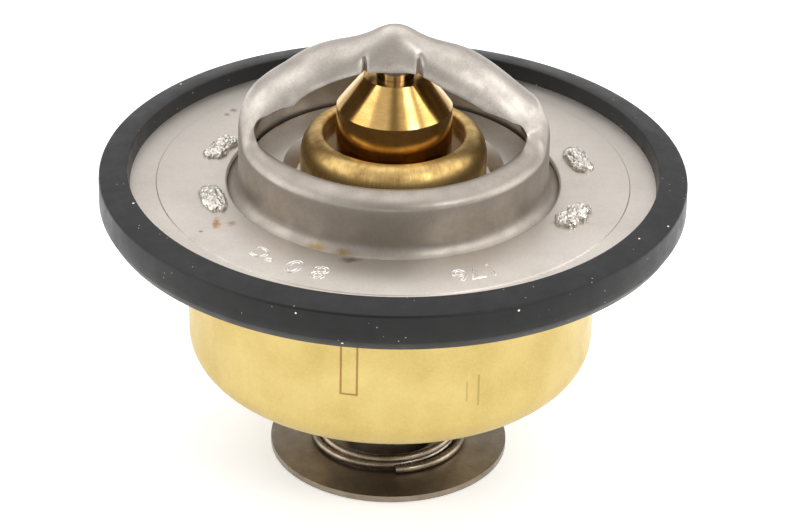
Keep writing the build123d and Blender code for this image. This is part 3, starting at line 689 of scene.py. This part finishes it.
# Boss under the nipple, with the socket for the piston
BOSS_SECTION = [(2.12, 13.78), (2.92, 13.78), (3.02, 13.9), (3.02, 14.5), (2.7, 15.3), (2.2, 16.2),
                (0.0, 16.4), (0.0, 15.9), (2.12, 15.9)]
boss = spun("boss", [(radius, RUBBER_TOP + height) for radius, height in BOSS_SECTION])
take(bridge)
boss.select_set(True)
bpy.ops.object.join()
hand_over(bridge, "drawn_bridge", bridge_steel, stands_for=("bridge",))


# Wound springs

COIL_STEPS = 48


def coil(name, path, wire_radius):
    """Wind a wire of round section along a path of turn, radius and height in millimetres."""
    curve = bpy.data.curves.new(name, "CURVE")
    curve.dimensions = "3D"
    curve.bevel_depth = wire_radius * MM
    curve.bevel_resolution = 4
    curve.use_fill_caps = True
    turns = path[-1][0] - path[0][0]
    count = int(turns * COIL_STEPS)
    spline = curve.splines.new("POLY")
    spline.points.add(count)
    for index in range(count + 1):
        place = path[0][0] + turns * index / count
        radius, height = read_table(path, place)
        x, y = polar(radius, 360 * place)
        spline.points[index].co = (x * MM, y * MM, height * MM, 1)
    piece = bpy.data.objects.new(name, curve)
    bpy.context.scene.collection.objects.link(piece)
    take(piece)
    bpy.ops.object.convert(target="MESH")
    return bpy.context.object


BUSH_SEAT = 10.914
PLATE_UNDERSIDE = 35.63
MAIN_WIRE = 1.0
main_spring = coil("main_spring_wire", [
    (0.0, 11.7, BUSH_SEAT + MAIN_WIRE),
    (0.8, 11.75, BUSH_SEAT + MAIN_WIRE + 0.35),
    (1.2, 11.9, BUSH_SEAT + MAIN_WIRE + 2.3),
    (3.0, 13.0, 23.3),
    (4.8, 14.0, PLATE_UNDERSIDE - MAIN_WIRE - 2.3),
    (5.2, 14.1, PLATE_UNDERSIDE - MAIN_WIRE - 0.35),
    (6.0, 14.15, PLATE_UNDERSIDE - MAIN_WIRE),
], MAIN_WIRE)
hand_over(main_spring, "main_spring_wire", spring_wire, smooth=60,
          stands_for=("main_spring",))
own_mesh(main_spring)

DISC_TOP = 0.74
SPRING_SEAT = 7.5
BYPASS_WIRE = 0.475
TIP_TURN = -84 / 360
bypass_low = DISC_TOP + BYPASS_WIRE
bypass_spring = coil("bypass_spring_wire", [
    (TIP_TURN, 8.7, bypass_low),
    (TIP_TURN + 0.5, 8.72, bypass_low + 0.03),
    (TIP_TURN + 0.8, 8.62, bypass_low + 0.1),
    (TIP_TURN + 1.05, 7.7, bypass_low + 0.25),
    (TIP_TURN + 1.5, 7.75, bypass_low + 0.6),
    (TIP_TURN + 2.0, 8.0, bypass_low + 1.05),
    (TIP_TURN + 2.5, 7.4, bypass_low + 2.1),
    (TIP_TURN + 3.0, 6.6, bypass_low + 3.6),
    (TIP_TURN + 3.5, 5.9, bypass_low + 5.0),
    (TIP_TURN + 4.0, 5.75, SPRING_SEAT - BYPASS_WIRE - 0.3),
    (TIP_TURN + 4.5, 5.75, SPRING_SEAT - BYPASS_WIRE),
], BYPASS_WIRE)
hand_over(bypass_spring, "bypass_spring_wire", spring_wire, body="wax_element",
          smooth=60, stands_for=("bypass_spring",))
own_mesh(bypass_spring)


# Support cup: the CAD's cup cut off below its tabs, and new tabs with the crushed heads that the punch left

CUP_EDGE = 33.36
CUT_REACH = 0.001
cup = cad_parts["support_cup"].copy()
cup.data = cup.data.copy()
cup.parent = None
bpy.context.scene.collection.objects.link(cup)
for key in list(cup.keys()):
    if key.startswith("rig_"):
        del cup[key]
take(cup)
bpy.ops.object.mode_set(mode="EDIT")
bpy.ops.mesh.select_all(action="SELECT")
bpy.ops.mesh.remove_doubles(threshold=0.0005 * MM)
bpy.ops.mesh.select_all(action="SELECT")
bpy.ops.mesh.bisect(plane_co=(0, 0, CUP_EDGE * MM), plane_no=(0, 0, 1), clear_outer=True,
                    threshold=CUT_REACH * MM)
bpy.ops.mesh.bridge_edge_loops()
bpy.ops.object.mode_set(mode="OBJECT")
hand_over(cup, "drawn_cup", cup_zinc, stands_for=("support_cup",))


def box(low, high, turn):
    """Make a box between two corners of X, Y and Z in millimetres, turned about the axis."""
    bpy.ops.mesh.primitive_cube_add(size=1, location=(0, 0, 0))
    piece = bpy.context.object
    low, high = Vector(low), Vector(high)
    shift = Matrix.Translation((low + high) / 2 * MM)
    piece.data.transform(Matrix.Rotation(math.radians(turn), 4, "Z") @ shift @
                         Matrix.Diagonal((*((high - low) * MM), 1)))
    return piece


# Tab's stem and its crank out to the cup's wall: radii, half width and lower end
STEM_RADII = (20.98, 21.9)
CRANK_RADII = (21.5, 22.9)
TAB_HALF_WIDTH = 1.8
TAB_FOOT = 32.5

# Crushed head's shape: share of the radius that each unevenness takes, and its scale over the lobe
HEAD_SQUARENESS = 0.12
CRUMPLE_LEAST = 0.8
CRUMPLE_DEPTH = 0.5
CRUMPLE_SCALE = 3.1
FINE_DEPTH = 0.14
FINE_SCALE = 5.3
OUTLINE_DEPTH = 0.13
OUTLINE_SCALE = 2.6
TOP_FLATNESS = 0.6


def crushed_head(name, tab_turn, lobes, seed):
    """Model one crushed tab head on its cranked tab: lobes of centre, half sizes, turn and height.

    The punch's teeth crumple the lobes.
    """
    pieces = []
    for (inner, outer), top in ((STEM_RADII, FLANGE_TOP + 0.1), (CRANK_RADII, CUP_EDGE - 0.05)):
        pieces.append(box((inner, -TAB_HALF_WIDTH, TAB_FOOT), (outer, TAB_HALF_WIDTH, top), tab_turn))
    for index, (x, y, along, across, turn, height) in enumerate(lobes):
        bpy.ops.mesh.primitive_ico_sphere_add(subdivisions=4, radius=1, location=(0, 0, 0))
        lump = bpy.context.object
        for vertex in lump.data.vertices:
            direction = vertex.co.copy()
            flat = Vector((direction.x, direction.y, 0))
            # a squarer outline than an ellipse's, with a flat bottom
            square = 1 + HEAD_SQUARENESS * abs(math.sin(2 * math.atan2(direction.y, direction.x)))
            cell = noise.voronoi(direction * CRUMPLE_SCALE + Vector((seed, index * 7, 0)))[0]
            fine = noise.noise(direction * FINE_SCALE + Vector((0, seed, index)))
            crumple = CRUMPLE_LEAST + CRUMPLE_DEPTH * cell[0] + FINE_DEPTH * fine
            edge = 1 + OUTLINE_DEPTH * noise.noise(flat * OUTLINE_SCALE + Vector((seed, 0, index)))
            top = max(direction.z, 0) ** TOP_FLATNESS * crumple
            vertex.co = (direction.x * along * square * edge, direction.y * across * square * edge,
                         top * height)
        lump.data.transform(Matrix.Rotation(math.radians(turn), 4, "Z"))
        lump.data.transform(Matrix.Translation((x, y, FLANGE_TOP - 0.05)))
        lump.data.transform(Matrix.Scale(MM, 4))
        pieces.append(lump)
    take(pieces[0])
    for extra in pieces[1:]:
        extra.select_set(True)
    bpy.ops.object.join()
    hand_over(pieces[0], name, peened_steel, smooth=0)


crushed_head("peened_tab_left_back", TAB_TURNS[1], [(*polar(21.0, 163.6), 1.15, 1.9, 165, 0.8),
                                                    (*polar(20.8, 159.0), 1.2, 1.5, 140, 0.9),
                                                    (*polar(21.6, 166.6), 1.0, 0.9, 90, 0.6)], 3)
crushed_head("peened_tab_left_front", TAB_TURNS[2], [(*polar(21.1, 196.6), 1.4, 2.9, 16, 0.8)], 11)
crushed_head("peened_tab_right_back", TAB_TURNS[0], [(*polar(21.7, 14.4), 1.3, 2.3, 15, 0.95),
                                                     (*polar(22.0, 9.0), 1.15, 1.1, 0, 0.75)], 23)
crushed_head("peened_tab_right_front", TAB_TURNS[3], [(*polar(21.7, -26.0), 1.35, 1.5, 0, 0.85),
                                                      (*polar(22.3, -20.8), 1.35, 1.8, 160, 0.95)], 31)


# Stamped numbers of a temperature scale, read from the far side

PUNCH_RIM = 0.065


def stamped(name, words, radius, angle, size_mm):
    """Stamp characters into the flange: the punch raises a fine rim along each outline."""
    curve = bpy.data.curves.new(name, "FONT")
    curve.body = words
    curve.size = size_mm * MM
    curve.align_x = "CENTER"
    curve.align_y = "CENTER"
    curve.fill_mode = "NONE"
    curve.bevel_depth = PUNCH_RIM * MM
    curve.bevel_resolution = 1
    piece = bpy.data.objects.new(name, curve)
    bpy.context.scene.collection.objects.link(piece)
    take(piece)
    bpy.ops.object.convert(target="MESH")
    piece = bpy.context.object
    x, y = polar(radius, angle)
    turn = Matrix.Rotation(math.radians(angle - 90 + 180), 4, "Z")
    piece.data.transform(Matrix.Translation(Vector((x, y, FLANGE_TOP + 0.005)) * MM) @ turn @
                         Matrix.Rotation(math.radians(180), 4, "Z"))
    hand_over(piece, name, rim_steel_painted_highlight, smooth=60)


stamped("stamped_eight", "8", 23.5, -109.3, 4.0)
stamped("stamped_zero", "0", 23.5, -116.8, 4.0)
stamped("stamped_degree", "°C", 23.0, -127.0, 3.0)
stamped("stamped_high", "176", 23.4, -67.0, 3.6)


# Floor, light and camera

FLOOR_SIZE = 4
FLOOR_HEIGHT = -0.0001
FLOOR_GLOW = 0.3


def stage_floor():
    """Lay a plain pale floor under the object."""
    bpy.ops.mesh.primitive_plane_add(size=FLOOR_SIZE, location=(0, 0, FLOOR_HEIGHT))
    floor = bpy.context.object
    floor.name = "studio_floor"
    paper = bpy.data.materials.new("paper_white_matt")
    paper.use_nodes = True
    shader = paper.node_tree.nodes["Principled BSDF"]
    shader.inputs["Base Color"].default_value = linear("#f7f7f6")
    shader.inputs["Roughness"].default_value = 0.9
    shader.inputs["Emission Color"].default_value = linear("#ffffff")
    shader.inputs["Emission Strength"].default_value = FLOOR_GLOW
    floor.data.materials.append(paper)
    bpy.ops.object.select_all(action="DESELECT")


def soft_box(name, place, size, watts, aim=(0, 0, 0.035)):
    """Hang one soft box that looks at the object."""
    light = bpy.data.lights.new(name, "AREA")
    light.shape = "RECTANGLE"
    light.size, light.size_y = size
    light.energy = watts
    lamp = bpy.data.objects.new(name, light)
    lamp.location = place
    lamp.rotation_euler = (Vector(aim) - Vector(place)).to_track_quat("-Z", "Y").to_euler()
    bpy.context.scene.collection.objects.link(lamp)


stage_floor()
soft_box("soft_box_top", (0.0, 0.35, 0.95), (1.5, 1.2), 5)
soft_box("soft_box_left", (-0.95, -0.05, 0.4), (1.1, 0.9), 4.5)
soft_box("soft_box_right", (0.6, -0.62, 0.7), (0.3, 0.4), 2.4)
soft_box("soft_box_side", (1.0, 0.05, 0.4), (0.8, 0.8), 4)

# The tent's slit: direction's share sideways and forward at which it starts and is full
SLIT_SIDE_START = 0.22
SLIT_SIDE_FULL = 0.06
SLIT_FRONT_START = -0.35
SLIT_FRONT_FULL = -0.6
TENT_STRENGTH = 0.95
world = bpy.data.worlds.new("light_tent")
world.use_nodes = True
# the tent has a dark upright slit, through which the photographer looks in
sky = add_node(world, "ShaderNodeTexCoord").outputs["Object"]
sides = add_node(world, "ShaderNodeSeparateXYZ", {0: sky}).outputs
sideways = add_node(world, "ShaderNodeMath", {0: sides[0]}, operation="ABSOLUTE").outputs[0]
narrow = add_node(world, "ShaderNodeMapRange", {"Value": sideways, "From Min": SLIT_SIDE_START,
                                                "From Max": SLIT_SIDE_FULL}).outputs[0]
forward = add_node(world, "ShaderNodeMapRange", {"Value": sides[1], "From Min": SLIT_FRONT_START,
                                                 "From Max": SLIT_FRONT_FULL}).outputs[0]
slit = add_node(world, "ShaderNodeMath", {0: narrow, 1: forward}, operation="MULTIPLY").outputs[0]
tent = add_node(world, "ShaderNodeMix", {0: slit, 6: linear("#f2f2f4"), 7: linear("#8a837a")},
                data_type="RGBA")
world.node_tree.links.new(tent.outputs[2], world.node_tree.nodes["Background"].inputs["Color"])
world.node_tree.nodes["Background"].inputs["Strength"].default_value = TENT_STRENGTH
bpy.context.scene.world = world
bpy.context.scene.view_settings.view_transform = "Standard"

camera = bpy.data.objects.new("camera", bpy.data.cameras.new("camera"))
camera.data.lens = 172.8
camera.data.sensor_width = 36
camera_right = Vector((0.9998, 0.0075, 0.018))
camera_up = Vector((-0.0194, 0.4869, 0.8732))
camera_back = -Vector((0.0022, 0.8734, -0.487))
camera.matrix_world = Matrix.Translation((0, -0.3871, 0.2393)) @ Matrix(
    (camera_right, camera_up, camera_back)).transposed().to_4x4()
bpy.context.scene.collection.objects.link(camera)
bpy.context.scene.camera = camera
